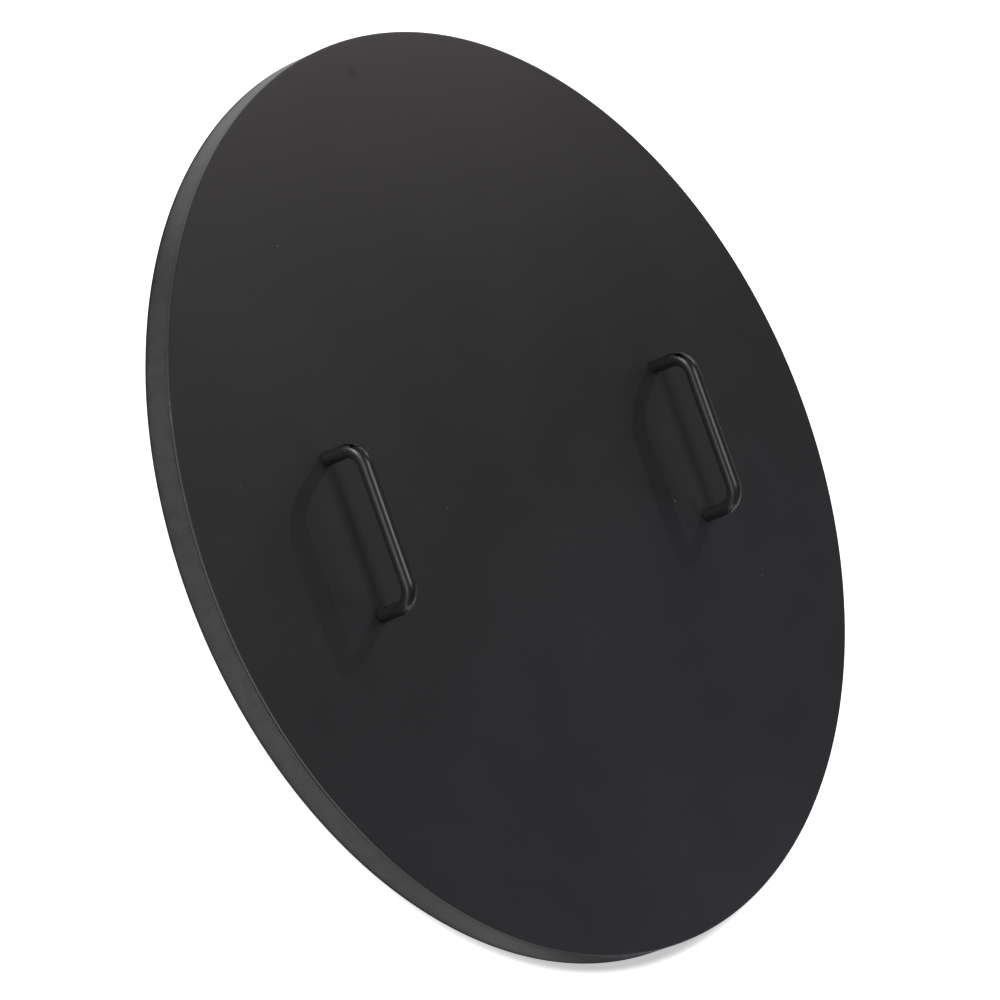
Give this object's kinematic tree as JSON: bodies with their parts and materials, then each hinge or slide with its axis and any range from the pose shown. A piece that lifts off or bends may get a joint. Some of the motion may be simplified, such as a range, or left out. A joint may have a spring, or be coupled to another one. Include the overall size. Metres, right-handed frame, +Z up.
{
  "type": "round steel pit lid",
  "caption": "Flat round sheet-steel lid with a shallow rolled rim and fixed bent-bar handles, lifted on and off a round pit or opening.",
  "frame": {"origin": "centre of the rim's lower edge, in the plane that the lid rests on", "axes": "+Z up out of the lid's top face; X runs across the two handles, from the left one to the right one; Y runs along their grips"},
  "size_m": [0.7619, 0.762, 0.0685],
  "materials": {
    "lid_coat": "satin black powder coat over steel, very fine orange peel",
    "handle_coat": "satin black powder coat, smoother and slightly glossier than the plate",
    "zinc_steel": "bright zinc plate, lightly dulled"
  },
  "bodies": {
    "root": {"top_plate": "lid_coat", "rim_band": "lid_coat", "rim_butt_weld": "lid_coat", "rim_stitch_welds": "lid_coat", "left_handle": "handle_coat", "right_handle": "handle_coat", "left_front_screw": "zinc_steel", "left_back_screw": "zinc_steel", "right_front_screw": "zinc_steel", "right_back_screw": "zinc_steel", "left_front_lock_washer": "zinc_steel", "left_back_lock_washer": "zinc_steel", "right_front_lock_washer": "zinc_steel", "right_back_lock_washer": "zinc_steel", "left_front_flat_washer": "zinc_steel", "left_back_flat_washer": "zinc_steel", "right_front_flat_washer": "zinc_steel", "right_back_flat_washer": "zinc_steel"}
  },
  "joints": []
}
